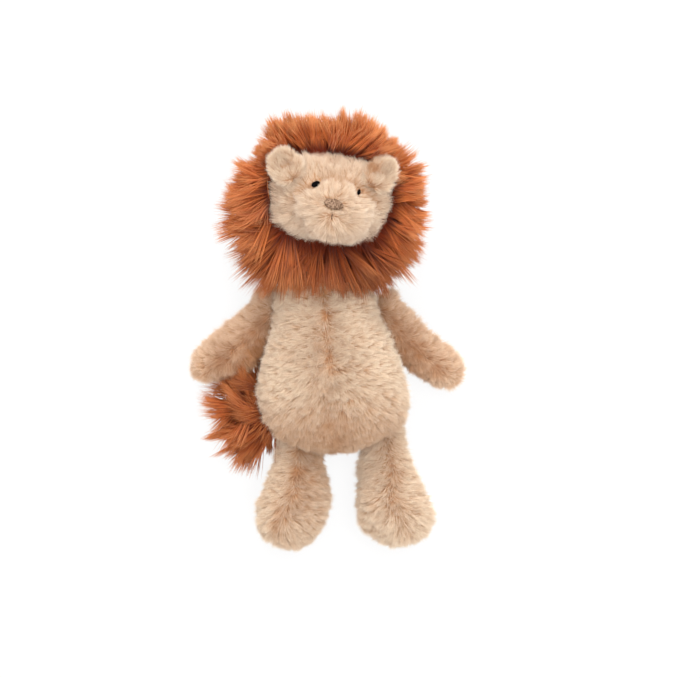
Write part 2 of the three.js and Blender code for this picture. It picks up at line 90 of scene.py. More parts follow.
class Graph:
    """A node tree that is filled by sums, and by a few methods for every other node."""

    def __init__(self, tree):
        self.tree = tree

    def node(self, kind, sockets=None, out=0, **settings):
        made = self.tree.nodes.new(kind)
        for name, value in settings.items():
            setattr(made, name, value)
        for name, value in (sockets or {}).items():
            if isinstance(value, Wire):
                self.tree.links.new(value.socket, made.inputs[name])
            else:
                made.inputs[name].default_value = value
        return Wire(self, made.outputs[out]) if made.outputs else made

    def shader(self, kind, sockets=None, out=0, **settings):
        return self.node("ShaderNode" + kind, sockets, out, **settings)

    def geometry(self, kind, sockets=None, out=0, **settings):
        return self.node("GeometryNode" + kind, sockets, out, **settings)

    def sum(self, operation, first, second):
        if not is_vector(first) and not is_vector(second):
            return self.shader("Math", {0: first, 1: second}, operation=operation)
        if operation == "MULTIPLY" and is_vector(first) != is_vector(second):
            vector, number = (first, second) if is_vector(first) else (second, first)
            return self.shader("VectorMath", {0: vector, "Scale": number}, operation="SCALE")
        return self.shader("VectorMath", {0: first, 1: second}, operation=operation)

    def unit(self, vector):
        return self.shader("VectorMath", {0: vector}, operation="NORMALIZE")

    def cross(self, first, second):
        return self.shader("VectorMath", {0: first, 1: second}, operation="CROSS_PRODUCT")

    def dot(self, first, second):
        return self.shader("VectorMath", {0: first, 1: second}, "Value", operation="DOT_PRODUCT")

    def parts(self, vector):
        """The three numbers of a vector."""
        split = self.shader("SeparateXYZ", {0: vector})
        return split, split.also("Y"), split.also("Z")

    def blend(self, factor, first, second):
        """A colour between two colours."""
        return self.shader("Mix", {0: factor, 6: first, 7: second}, 2, data_type="RGBA")


def cleared(owner):
    """The empty graph of a material or a world."""
    owner.use_nodes = True
    owner.node_tree.nodes.clear()
    return Graph(owner.node_tree)


def tint(red, green, blue):
    """A colour as a screen shows it, 0 to 255, in the linear numbers that Blender works in."""
    linear = [((c / 255 + 0.055) / 1.055) ** 2.4 for c in (red, green, blue)]
    return (*linear, 1.0)


def new_object(name, data):
    made = bpy.data.objects.new(name, data)
    bpy.context.scene.collection.objects.link(made)
    return made


# %% [markdown]
# The photograph was taken from straight above in a soft even light. The camera comes first,
# with a long lens, so that the toy shows hardly any perspective.

# %% Camera
CAMERA_PLACE = Vector((0.0109, 0.0166, 3.6))
camera_data = bpy.data.cameras.new("camera")
camera_data.sensor_width = 36
camera_data.lens = 286.1
camera = new_object("camera", camera_data)
camera.location = CAMERA_PLACE
bpy.context.scene.camera = camera
bpy.context.scene.view_settings.view_transform = "Standard"
print("camera above", tuple(round(v, 3) for v in CAMERA_PLACE))

# %% [markdown]
# One large soft lamp stands on the side of the head and one above the toy, as the shading in
# the photograph asks, and a weak one at the feet. The world fills the shadows. The floor shows
# white to the camera, and keeps a share of its own shading, so that the toy's shadow stays.

# %% Lamps, world and floor
WHITE = (1, 1, 1, 1)
PAPER = (0.93, 0.93, 0.93, 1)
FILL_LIGHT = 0.68
PAPER_GLOW_SHARE = 0.88
FLOOR_HALF = 2.5
FLOOR_DROP = 0.0003
TOY_MIDDLE = Vector((0, 0.02, 0.03))


def soft_lamp(name, place, size, watts):
    data = bpy.data.lights.new(name, "AREA")
    data.shape = "DISK"
    data.size = size
    data.energy = watts
    lamp = new_object(name, data)
    lamp.location = place
    lamp.rotation_euler = (TOY_MIDDLE - Vector(place)).to_track_quat("-Z", "Y").to_euler()


soft_lamp("head_side_lamp", (-0.15, 1.25, 1.0), 0.8, 15)
soft_lamp("top_lamp", (0.25, 0.1, 1.9), 1.2, 24)
soft_lamp("foot_side_lamp", (0.5, -1.2, 0.9), 1.2, 3)

world = bpy.data.worlds.new("plain_world")
sky = cleared(world)
ray = sky.shader("LightPath")
seen = ray.also("Is Camera Ray") + ray.also("Is Glossy Ray") + ray.also("Is Transmission Ray")
fill = sky.shader("Background", {"Color": WHITE, "Strength": FILL_LIGHT})
white = sky.shader("Background", {"Color": WHITE, "Strength": 1.0})
sky.shader("OutputWorld", {"Surface": sky.shader("MixShader", {0: seen, 1: fill, 2: white})})
bpy.context.scene.world = world

floor_mesh = bpy.data.meshes.new("floor")
FLOOR_CORNERS = ((-1, -1), (1, -1), (1, 1), (-1, 1))
floor_points = [(x * FLOOR_HALF, y * FLOOR_HALF, -FLOOR_DROP) for x, y in FLOOR_CORNERS]
floor_mesh.from_pydata(floor_points, [], [(0, 1, 2, 3)])
floor = new_object("floor", floor_mesh)
floor_finish = bpy.data.materials.new("floor_paper")
paper = cleared(floor_finish)
ray = paper.shader("LightPath")
seen = ray.also("Is Camera Ray") + ray.also("Is Glossy Ray")
coat = paper.shader("BsdfDiffuse", {"Color": PAPER})
glow = paper.shader("Emission", {"Color": WHITE, "Strength": 1.0})
shown = paper.shader("MixShader", {0: seen * PAPER_GLOW_SHARE, 1: coat, 2: glow})
paper.shader("OutputMaterial", {"Surface": shown})
floor_mesh.materials.append(floor_finish)
print("floor and lamps are set")

# %% [markdown]
# Every padded part is a cloth skin. Rings of points along the part give its cut, and the rings
# are joined into one closed tube, whose ends run to a point.

# %% Skins from rings
EGG_SIDES = 40
EGG_ROWS = 24


def outwards(mesh):
    """Turns every face of a mesh to the outside."""
    made = bmesh.new()
    made.from_mesh(mesh)
    bmesh.ops.recalc_face_normals(made, faces=made.faces)
    made.to_mesh(mesh)
    made.free()


def new_mesh(name, points, faces):
    mesh = bpy.data.meshes.new(name)
    mesh.from_pydata(points, [], faces)
    outwards(mesh)
    return mesh


def strips(rows, sides, around=False):
    """The faces between rows of points, and where it goes around, from the last to the first."""
    faces = []
    for row in range(rows if around else rows - 1):
        low = row * sides
        high = (row + 1) % rows * sides
        for side in range(sides):
            after = (side + 1) % sides
            faces.append((low + side, low + after, high + after, high + side))
    return faces


def ring_mesh(name, rings):
    """A closed mesh over rings of points. The first and last ring each close in a point."""
    rings = np.asarray(rings, dtype=float)
    count, sides, _ = rings.shape
    ends = [tuple(rings[0].mean(axis=0)), tuple(rings[-1].mean(axis=0))]
    faces = strips(count, sides)
    top = (count - 1) * sides
    for side in range(sides):
        after = (side + 1) % sides
        faces.append((count * sides, after, side))
        faces.append((count * sides + 1, top + side, top + after))
    return new_mesh(name, [tuple(p) for p in rings.reshape(-1, 3)] + ends, faces)


def turns(sides):
    return np.arange(sides) * 2 * math.pi / sides


def oval(middle, across, wide, out, deep, sides):
    """One ring in metres, from a middle, two directions and two half sizes in millimetres."""
    return [(middle + across * wide * math.cos(a) + out * deep * math.sin(a)) * MM for a in turns(sides)]


def squarer(value, power):
    return math.copysign(abs(value) ** (2 / power), value)


def egg(centre, half, power=2.0, turn=0.0, rim=1.0):
    """The rings of a rounded form. A power over 2 makes its outline squarer, and a rim under 1
    its walls steeper."""
    rings = []
    for row in range(EGG_ROWS + 1):
        slope = math.pi * (row + 0.02) / (EGG_ROWS + 0.04)
        reach = math.sin(slope) ** rim
        height = centre[2] - half[2] * math.cos(slope)
        ring = []
        for angle in turns(EGG_SIDES):
            x = half[0] * reach * squarer(math.cos(angle), power)
            y = half[1] * reach * squarer(math.sin(angle), power)
            spun = (x * math.cos(turn) - y * math.sin(turn), x * math.sin(turn) + y * math.cos(turn))
            ring.append((centre[0] + spun[0], centre[1] + spun[1], height))
        rings.append(ring)
    return np.array(rings) * MM


# %% [markdown]
# The stuffing pushes the cloth out and the seams hold it in. A cloth simulation does just
# that: the skin is remeshed evenly, blown up a little with its seam points held fast, and
# capped so that no point moves further than the wadding would push it. A skin of this size
# has little area for the pressure to push on, so the fabric is light and stretches easily.

# %% Stuff a skin
STUFFING_FRAMES = 20
SOFT_FABRIC = dict(
    mass=0.002,
    air_damping=0.2,
    tension_stiffness=0.1,
    compression_stiffness=0.1,
    shear_stiffness=0.05,
    bending_stiffness=0.01,
    tension_damping=0.1,
    compression_damping=0.1,
    shear_damping=0.1,
    use_pressure=True,
)


def read(items, name):
    """The places, normals or centres of the points or faces of a mesh."""
    flat = np.empty(len(items) * 3)
    items.foreach_get(name, flat)
    return flat.reshape(-1, 3)


def plain(piece):
    """Keeps the mesh that the modifiers give and takes the modifiers off."""
    graph = bpy.context.evaluated_depsgraph_get()
    mesh = bpy.data.meshes.new_from_object(piece.evaluated_get(graph))
    piece.modifiers.clear()
    piece.data = mesh


def blow_up(piece, most, held, pressure):
    start = read(piece.data.vertices, "co")
    group = piece.vertex_groups.new(name="seam")
    if held is not None:
        group.add([int(i) for i in np.flatnonzero(held(start))], 1.0, "REPLACE")
    cloth = piece.modifiers.new("wadding", "CLOTH")
    for setting, value in SOFT_FABRIC.items():
        setattr(cloth.settings, setting, value)
    cloth.settings.uniform_pressure_force = pressure
    cloth.settings.effector_weights.gravity = 0
    cloth.settings.vertex_group_mass = "seam"
    cloth.point_cache.frame_start = 1
    cloth.point_cache.frame_end = STUFFING_FRAMES
    for step in range(1, STUFFING_FRAMES + 1):
        bpy.context.scene.frame_set(step)
    plain(piece)
    bpy.context.scene.frame_set(1)
    piece.vertex_groups.clear()
    push = read(piece.data.vertices, "co") - start
    far = np.linalg.norm(push, axis=1, keepdims=True)
    capped = start + push * np.minimum(1, most / np.maximum(far, 1e-9))
    piece.data.vertices.foreach_set("co", capped.ravel())
    piece.data.update()
    middle_push, most_push = (round(float(v) / MM, 1) for v in (np.median(far), far.max()))
    print(piece.name, "swelled by", middle_push, "mm, at most", most_push, "before the cap")


def stuffed(name, mesh, size=3.4 * MM, most=3.5 * MM, held=None, pressure=110.0):
    """Makes a skin and blows it up. held tells for each point whether a seam holds it."""
    piece = new_object(name, mesh)
    remesh = piece.modifiers.new("even", "REMESH")
    remesh.mode = "VOXEL"
    remesh.voxel_size = size
    remesh.use_smooth_shade = True
    plain(piece)
    blow_up(piece, most, held, pressure)
    finer = piece.modifiers.new("finer", "SUBSURF")
    finer.levels = 1
    finer.render_levels = 1
    plain(piece)
    return piece


# %% [markdown]
# The body is one bag of four curved sides, sewn down the middle of the belly. These rows give
# its cut as the photograph shows it: the height along the toy, the two edges and the half
# depth. The pile stands on the skin, so the skin lies one pile length inside that outline.

# %% Body skin
PILE = 5.1
THINNEST_BODY = 3
SEAM_HALF = 1.8
BODY_MIDDLE = 33.5
RIGHT = np.array((1.0, 0, 0))
UP = np.array((0, 0, 1.0))
BODY_ROWS = (
    (-52.6, -11, 10, 8), (-51.0, -22, 20, 14.5), (-46.9, -33, 32, 23), (-40.2, -41.5, 41, 29.2),
    (-31.4, -46.8, 48, 32.6), (-20.4, -48.8, 49.4, 34), (-6.0, -47.8, 46.4, 34),
    (12.8, -44.4, 39.6, 33.6), (31.6, -39.8, 31, 30.3), (47.0, -37, 28, 26.9),
    (54.2, -33, 23, 22), (58.0, -28, 18, 14),
)
body_rings = []
for body_y, body_left, body_right, body_deep in BODY_ROWS:
    middle = np.array(((body_left + body_right) / 2, body_y, BODY_MIDDLE))
    wide = max((body_right - body_left) / 2 - PILE, THINNEST_BODY)
    deep = max(body_deep - PILE, THINNEST_BODY)
    body_rings.append(oval(middle, RIGHT, wide, UP, deep, 48))


def seam_x(y):
    """Where the belly seam runs, in metres: a little left at the neck, a little right below."""
    return -0.0015 - 0.10 * (y + 0.03)


def on_belly_seam(points):
    return (abs(points[:, 0] - seam_x(points[:, 1])) < SEAM_HALF * MM) & (points[:, 2] > 0.03)


body_skin = stuffed("body_skin", ring_mesh("body_skin", body_rings), most=2.2 * MM, held=on_belly_seam)
print("body skin:", len(body_skin.data.polygons), "faces")

# %% [markdown]
# Arms and legs are sewn tubes that end in a round paw. Each has its place, its two angles and
# rows of sizes, which follow its two edges in the photograph: the shoulders flare into the
# body. The last line of each is for the comb: where its seam runs, how much painted shade
# lies in the seam's parting, on the side towards the body and at the root, how pale the paw
# is, and which panel lies on which side.

# %% Arm and leg skins
LIMB_PILE = 4.6
THINNEST_LIMB = 2.5
# In each limb, dark, the size of under and the root's number are amounts of painted shade; a root's number
# below 0 is painted light, and the sign of under picks the side.
LIMBS = {
    "arm_left": dict(
        body="left_arm", pivot=(-41.99, 26.83, 24.5), angle=218.5, slope=-6.5,
        rows=((-17, -19, 9, 9), (-10, -22, 14, 13), (4, -19.8, 17, 14), (22, -18.6, 19.1, 14.5),
              (41, -18.4, 13.4, 14.2), (49, -15.6, 10.4, 12.5), (54, -11.5, 6.5, 9.5),
              (56.5, -8, 3, 6.5)),
        seam=((0, -2), (30, 1), (60, -2)), dark=0.7, under=0.95, root_dark=-0.1, paw=0.6,
        panels=(("upper", 2), ("lower", 1))),
    "arm_right": dict(
        body="right_arm", pivot=(37.39, 26.61, 24.5), angle=-43.5, slope=-6.5,
        rows=((-14, -14, 19.4, 13), (-6, -15, 16.3, 14), (12, -16, 14.6, 14.5),
              (35, -14.6, 15.8, 14.5), (44, -12.9, 16.2, 13.6), (51, -10, 14.6, 11),
              (55.5, -5.5, 10, 7)),
        seam=((0, 0), (30, -2), (60, 1)), dark=0.6, under=-0.75, root_dark=0.05, paw=0.7,
        panels=(("upper", 1), ("lower", 2))),
    "leg_left": dict(
        body="left_leg", pivot=(-20.48, -45.99, 24.25), angle=264.5, slope=0,
        rows=((-6, -15, 15, 12), (1, -17.6, 18, 14.5), (16, -15.9, 17.2, 16.5),
              (26, -18.2, 20.5, 19.5), (38, -21.8, 22.5, 23), (47, -23.7, 22.2, 24.7),
              (56, -23.4, 19.4, 24.2), (62, -20.8, 15.4, 20.5), (66.5, -16, 10.5, 15.5),
              (68, -12, 7, 11)),
        seam=((0, 1), (19, 0.5), (37, -3), (46, -7.5), (56, -9)), dark=0.65, under=0.45,
        root_dark=0.25, paw=0, panels=(("inner", 1), ("outer", 2))),
    "leg_right": dict(
        body="right_leg", pivot=(30.48, -44.55, 24.75), angle=279.8, slope=0,
        rows=((-6, -12.5, 14, 12), (1, -13.5, 16.4, 14.5), (9, -14.4, 15.7, 15.5),
              (20, -17.6, 16.8, 18), (33, -20.4, 18.8, 22), (45.5, -23.9, 22.8, 25),
              (54, -22.8, 25, 24.5), (62, -18, 24, 21), (67.5, -11.5, 19.5, 15.5),
              (69.3, -7.5, 15.5, 11)),
        seam=((0, 4), (24, 5), (40, 0), (64, 6)), dark=0.4, under=-0.1, root_dark=0, paw=0,
        panels=(("inner", 2), ("outer", 1))),
}


def directions(angle, slope=0.0):
    """Along a part that lies at an angle on the table, and across it."""
    angle = math.radians(angle)
    slope = math.radians(slope)
    level = math.cos(slope)
    along = np.array((math.cos(angle) * level, math.sin(angle) * level, math.sin(slope)))
    return along, np.array((-math.sin(angle), math.cos(angle), 0))


def limb_axes(limb):
    """The limb's root and its three directions: along it, across it and out of its upper side."""
    along, across = directions(limb["angle"], limb["slope"])
    return np.array(limb["pivot"]), along, across, np.cross(along, across)


def from_seam(limb, points):
    """How far each point, in millimetres, lies to the side of the limb's seam."""
    root, along, across, out = limb_axes(limb)
    ways, shifts = zip(*limb["seam"])
    return (points - root) @ across - np.interp((points - root) @ along, ways, shifts)


def limb_skin(name, limb):
    """A tube over rows of: way along the limb, its two edges and its half thickness."""
    root, along, across, out = limb_axes(limb)
    rings = []
    for way, low, high, half_thick in limb["rows"]:
        middle = root + along * way + across * (low + high) / 2
        wide = max((high - low) / 2 - LIMB_PILE, THINNEST_LIMB)
        rings.append(oval(middle, across, wide, out, max(half_thick - LIMB_PILE, THINNEST_LIMB), 32))

    def on_seam(points):
        points = points / MM
        return (abs(from_seam(limb, points)) < SEAM_HALF) & ((points - root) @ out > 2)

    return stuffed(name, ring_mesh(name, rings), held=on_seam, most=2.5 * MM)


limb_skins = {name: limb_skin(name + "_skin", limb) for name, limb in LIMBS.items()}
print("limb skins:", ", ".join(limb_skins))

# %% [markdown]
# The head is a broad soft cushion with a muzzle sewn on its front, tilted a little. Both are
# put in one mesh, and the remesh welds them, which leaves the fold between them. The hood
# behind it is a second skin, of the fabric that carries the mane. An ear is a round flap.

# %% Head, hood and ears
HEAD_TURN = math.radians(-9)
FACE_TURN = math.radians(-4)
FACE_PLACE = (-1.8, 106.0, 46)
FACE_HALF = (39.4 - PILE, 27.8 - PILE, 36 - PILE)
MUZZLE_PLACE = (0.3, 98.2, 66)
MUZZLE_HALF = (21.5, 14.6, 21.5)
HOOD_PLACE = (-2.0, 105.0, 33)
HOOD_HALF = (45, 36.5, 30)
EAR_HALF_THICK = 2.6
EAR_CURL = 4.0
EARS = {
    "ear_left": dict(root=(-23.5, 118.0, 71.8), angle=130, wide=26, long=27,
                     hollow=(-27.5, 125.0), shade=0.6),
    "ear_right": dict(root=(24.5, 112.5, 71.8), angle=52, wide=24, long=27,
                      hollow=(25.5, 122.5), shade=1.1),
}

head_mesh = ring_mesh("head_skin", egg(FACE_PLACE, FACE_HALF, 3.0, FACE_TURN))
muzzle_mesh = ring_mesh("muzzle_form", egg(MUZZLE_PLACE, MUZZLE_HALF, 2.4, HEAD_TURN, rim=0.55))
joined = bmesh.new()
joined.from_mesh(head_mesh)
joined.from_mesh(muzzle_mesh)
joined.to_mesh(head_mesh)
joined.free()
head_skin = stuffed("head_skin", head_mesh, size=2.8 * MM, most=1.5 * MM)
hood_mesh = ring_mesh("hood_skin", egg(HOOD_PLACE, HOOD_HALF, 2.5, HEAD_TURN))
hood_skin = stuffed("hood_skin", hood_mesh, most=1.5 * MM)


def ear_skin(name, ear):
    """A round flap, whose rim curls forward round its hollow."""
    along, across = directions(ear["angle"])
    half_long = ear["long"] / 2 - 3.6
    half_wide = ear["wide"] / 2 - 4.2
    middle = np.array(ear["root"]) + along * (half_long - 0.5)
    rings = egg((0, 0, 0), (half_long, half_wide, EAR_HALF_THICK), 2.2) / MM
    reach = np.clip((rings[..., 0] / half_long) ** 2 + (rings[..., 1] / half_wide) ** 2, 0, 1)
    rings[..., 2] += EAR_CURL * reach - EAR_CURL / 2
    placed = middle + rings[..., :1] * along + rings[..., 1:2] * across + rings[..., 2:] * UP
    return stuffed(name, ring_mesh(name, placed * MM), size=1.4 * MM, most=0.4 * MM, pressure=30.0)


ear_skins = {name: ear_skin(name + "_skin", ear) for name, ear in EARS.items()}
print("head skin:", len(head_skin.data.polygons), "faces; hood:", len(hood_skin.data.polygons))

# %% [markdown]
# The tail is a thin sewn tube with a stuffed knob at its end, where the long hair is sewn in. Its
# rows give the way along it and its two half sizes.

# %% Tail skin
TAIL_ROOT = np.array((-36.0, -31.95, 11.0))
TAIL_SHIFT = 5.5
TAIL_ROWS = (
    (-1, 4, 3.6), (1, 8, 5.2), (4, 12, 7.0), (8, 15, 8.2),
    (12, 15.5, 8.6), (16, 14, 7.8), (20, 10, 5.8), (22, 5, 3.4),
)
tail_along, tail_across = directions(192)
tail_rings = []
for tail_way, tail_wide, tail_deep in TAIL_ROWS:
    middle = TAIL_ROOT + tail_along * tail_way + np.array((0, TAIL_SHIFT * min(tail_way / 8, 1), 0))
    tail_rings.append(oval(middle, tail_across, tail_wide, UP, tail_deep, 24))
tail_skin = stuffed("tail_skin", ring_mesh("tail_skin", tail_rings), size=1.8 * MM, most=0.8 * MM)
print("tail skin:", len(tail_skin.data.polygons), "faces")

# %% [markdown]
# Plush is combed: in each place its pile leans one way. The comb is a direction at each point
# of the skin, kept as an attribute, with the pile's length and its painted shade there beside
# it. Each face also keeps the number of the cut panel that it belongs to.


# %% Comb a skin
def unit(vectors):
    return vectors / np.maximum(np.linalg.norm(vectors, axis=1, keepdims=True), 1e-9)


def ripple(points, size, seed):
    """Smooth noise of about -1 to 1, with waves of the given size in metres."""
    rng = np.random.default_rng(seed)
    total = np.zeros(len(points))
    for _ in range(8):
        way = rng.normal(size=3)
        way /= np.linalg.norm(way)
        total += np.sin(points @ way * 2 * math.pi / size * rng.uniform(0.6, 1.5) + rng.uniform(0, 7))
    return total / 3.2


def share(values):
    return np.clip(values, 0, 1)


def columns(*parts):
    """Vectors from their columns, each an array or one number for all of them."""
    return np.column_stack(np.broadcast_arrays(*parts))


def near(points, place, size):
    """1 at a place and 0 far from it."""
    gap = points[:, :len(place)] - np.array(place)
    return np.exp(-(gap ** 2).sum(axis=1) / size ** 2)


def keep(mesh, name, kind, domain, values):
    attribute = mesh.attributes.new(name, kind, domain)
    column = "vector" if kind == "FLOAT_VECTOR" else "value"
    attribute.data.foreach_set(column, np.asarray(values).ravel())


def comb(skin, direction, length, panel, bare, wander, seed, ruffle=0.0, along_skin=True):
    """direction, length and panel are functions of points in millimetres and their normals.
    Short pile is combed along the skin. Long hair keeps its own direction, also out of the skin.
    The painted shading says how much of a hair keeps the dark colour of its root, which is
    painted shade; below 0 the hair is paler, which is painted light. ruffle says how untidy it is."""
    mesh = skin.data
    points = read(mesh.vertices, "co")
    normals = read(mesh.vertices, "normal")
    spots = points / MM
    wide = [ripple(points, 22 * MM, seed + i) + 0.6 * ripple(points, 9 * MM, seed + 10 + i)
            for i in range(3)]
    fine = [ripple(points, 5 * MM, seed + 20 + i) for i in range(3)]
    untidy = ruffle(spots)[:, None] if callable(ruffle) else ruffle
    flow = unit(direction(spots, normals)) + wander * np.stack(wide, axis=1)
    flow = flow + untidy * np.stack(fine, axis=1)
    if along_skin:
        flow = flow - normals * (flow * normals).sum(axis=1, keepdims=True)
    keep(mesh, "flow", "FLOAT_VECTOR", "POINT", unit(flow))
    keep(mesh, "pile", "FLOAT", "POINT", length(spots, normals))
    keep(mesh, "bare", "FLOAT", "POINT", bare(spots))
    panels = panel(read(mesh.polygons, "center") / MM, read(mesh.polygons, "normal"))
    keep(mesh, "panel", "INT", "FACE", panels.astype(np.int32))


# %% [markdown]
# On the belly the pile leans away from the seam, and fans down from a swirl at the seam's
# lower end. It is untidy along the seam. Painted shade darkens it along the seam's parting,
# round the swirl, in a dent below the swirl and towards the lower end, where the legs are sewn
# on. On a limb it leans along the limb and away from its seam.

# %% Comb the body and the limbs
SWIRL = np.array((-1.5, -3.0))
NECK_END = np.array((-7.0, 60.0))
LOW_DENT = (6.0, -34 / 3.6)
PAW_LONG = 16


def from_belly_seam(points):
    return points[:, 0] - seam_x(points[:, 1] * MM) / MM


def body_direction(points, normals):
    way = NECK_END - SWIRL
    gone = share(((points[:, :2] - SWIRL) @ way) / (way @ way))
    flat = unit(points[:, :2] - (SWIRL + gone[:, None] * way))
    front = columns(flat[:, 0], flat[:, 1] - 0.22, -0.25)
    back = columns(flat[:, 0] * 0.4, -1, 0)
    return np.where(points[:, 2:] > 18, front, back)


def body_length(points, normals):
    tuft = 0.35 * near(points / (1, 3, 1), (-3.0, 8.0), 6) + 0.25 * near(points, SWIRL, 12)
    long = 1 + tuft * (points[:, 2] > 30) + 0.14 * ripple(points * MM, 0.03, 40)
    return long + 0.12 * ripple(points * MM, 0.008, 41)


def body_panel(points, normals):
    return np.where(points[:, 2] < 27, 3, np.where(from_belly_seam(points) < 0, 1, 2))


def body_ruffle(points):
    seam = 0.8 * np.exp(-(from_belly_seam(points) / 7) ** 2) * (points[:, 2] > 30)
    return 0.14 + seam + 0.7 * near(points, SWIRL, 15)


# Painted shade along the seam's parting, round the swirl, in the dent and towards the lower end of the
# body, where the legs are sewn on.
def body_painted_shading(points):
    patchy = np.clip(0.8 + 0.6 * ripple(points * MM, 0.011, 44), 0.2, 1.6)
    seam = 0.38 * np.exp(-(from_belly_seam(points) / 2.3) ** 2) * (points[:, 2] > 30) * patchy
    dent = 0.2 * near(points / (1, 3.6, 1), LOW_DENT, 3) * (points[:, 2] > 25)
    swirl = 0.08 * near(points, SWIRL + (-5, 5), 16) * patchy
    low = 0.55 * share((-16 - points[:, 1]) / 24)
    return np.clip(seam + swirl + dent + low, 0, 0.75)


comb(body_skin, body_direction, body_length, body_panel, body_painted_shading, 0.3, 3, body_ruffle)


def limb_comb(name):
    limb = LIMBS[name]
    root, along, across, out = limb_axes(limb)

    def direction(points, normals):
        aside = np.clip(from_seam(limb, points) / 7, -1, 1)
        return along * 0.55 + np.outer(aside, across) * 0.95 - out * 0.25

    def length(points, normals):
        return 1 + 0.14 * ripple(points * MM, 0.025, 60) + 0.14 * ripple(points * MM, 0.008, 61)

    def panel(points, normals):
        return np.where(from_seam(limb, points) > 0, 1, 2)

    def parting(points):
        return np.exp(-(from_seam(limb, points) / 2.2) ** 2) * ((points - root) @ out > 2)

    # Painted shade at the limb's root, on its side towards the body and in its seam's parting; below 0 at
    # the root it is painted light. Towards the paw it is paler.
    def bare(points):
        far = (points - root) @ along
        end = limb["rows"][-1][0]
        top = near(points, root + along * 4, 16) * limb["root_dark"]
        aside = share(np.sign(limb["under"]) * from_seam(limb, points) / 5)
        under = abs(limb["under"]) * aside * share(1.3 - far / end)
        paw = limb["paw"] * share((far - end + PAW_LONG) / 10)
        patchy = np.clip(0.8 + 0.5 * ripple(points * MM, 0.014, 62), 0, 1.5)
        line = limb["dark"] * parting(points) * share((end + 2 - far) / PAW_LONG) * patchy
        return top + under - paw + line * (1 - under)

    def ruffle(points):
        return 0.16 + 0.5 * parting(points)

    comb(limb_skins[name], direction, length, panel, bare, 0.26, 70 + len(name), ruffle)


for limb_name in LIMBS:
    limb_comb(limb_name)
print("body and limbs are combed")

# %% [markdown]
# On the head the pile runs away from the nose: up over the forehead, out over the cheeks and
# down to the chin. Round the nose and the eyes it is clipped short, or it would hide them.
# Painted shade darkens it in the fold over the muzzle, towards the face's edge by the mane and
# towards the forehead. In an ear it runs to the rim, and in the ear's hollow it is short and
# darkened with painted shade.

# %% Comb the head and the ears
NOSE = (0.7, 101.7)
MOUTH = (-0.4, 94.6)
EYE_LEFT = (-10.8, 114.6)
EYE_RIGHT = (16.4, 109.6)


def on_muzzle(points):
    wide = (points[:, 0] - MUZZLE_PLACE[0]) / (MUZZLE_HALF[0] + 1)
    tall = (points[:, 1] - MUZZLE_PLACE[1]) / (MUZZLE_HALF[1] + 1)
    return (wide ** 2 + tall ** 2 < 1) & (points[:, 2] > 70)


def muzzle_fold(points):
    """1 in the fold over the muzzle, where its cloth meets the face."""
    wide = (points[:, 0] - MUZZLE_PLACE[0]) / MUZZLE_HALF[0]
    tall = (points[:, 1] - MUZZLE_PLACE[1]) / MUZZLE_HALF[1]
    upper = share((points[:, 1] - MUZZLE_PLACE[1] + 4) / 8)
    return np.exp(-((np.hypot(wide, tall) - 1.14) / 0.09) ** 2) * upper * (points[:, 2] > 60)


def head_direction(points, normals):
    on = on_muzzle(points)
    low = (points[:, 1] < MOUTH[1] + 2) & on
    flat = unit(points[:, :2] - np.where(low[:, None], np.array(MOUTH), np.array(NOSE)))
    brow = share((points[:, 1] - 112) / 6)[:, None]
    flat = flat * (1 - brow) + brow * columns(flat[:, 0] * 0.35, 1)
    return np.column_stack([flat, np.where(on, -0.25, -0.1)])


def head_length(points, normals):
    clipped = 0.85 * near(points, NOSE, 6.5) + 0.4 * near(points, MOUTH, 3)
    for eye in (EYE_LEFT, EYE_RIGHT):
        under = (eye[0] * 0.93, eye[1] - 2.5)
        clipped = clipped + 0.5 * near(points, eye, 3.5) + 0.6 * near(points, under, 5)
    left = np.clip(1 - clipped - 0.45 * muzzle_fold(points), 0.12, 1)
    return left * (1 + 0.15 * ripple(points * MM, 0.02, 90))


def head_panel(points, normals):
    return np.where(points[:, 2] < 34, 3, np.where(on_muzzle(points), 2, 1))


# Painted shade in the fold over the muzzle, towards the face's edge where it meets the mane, and towards
# the forehead.
def head_painted_shading(points):
    rim = 0.3 * share((62 - points[:, 2]) / 16)
    return 0.6 * muzzle_fold(points) + rim + 0.14 * share((points[:, 1] - 108) / 8)


comb(head_skin, head_direction, head_length, head_panel, head_painted_shading, 0.2, 5, 0.18)


def ear_comb(name):
    ear = EARS[name]
    along, across = directions(ear["angle"])
    middle = np.array(ear["root"]) + along * ear["long"] * 0.22

    def direction(points, normals):
        return (points - middle) * (0.5, 0.5, 0) + along * 3.5

    def length(points, normals):
        return 1 - 0.5 * near(points, ear["hollow"], 5) * (normals[:, 2] > 0)

    def panel(points, normals):
        return np.ones(len(points))

    # Painted shade in the ear's hollow; the rest of the ear is a little paler.
    def bare(points):
        return ear["shade"] * near(points, ear["hollow"], 4.8) - 0.2

    comb(ear_skins[name], direction, length, panel, bare, 0.3, 11, 0.25)


for ear_name in EARS:
    ear_comb(ear_name)
print("head and ears are combed")

# %% [markdown]
# The mane is cut in five lengths of long fur. Its outline in the photograph says how far it
# reaches in each direction, so each hair's length follows from where it starts. It runs away
# from the face, nearly upright at the crown, and hangs over the chest below. Painted shade
# darkens it under the chin, and painted light makes it paler on the crown, where the light
# falls. Its right side is a little paler too.

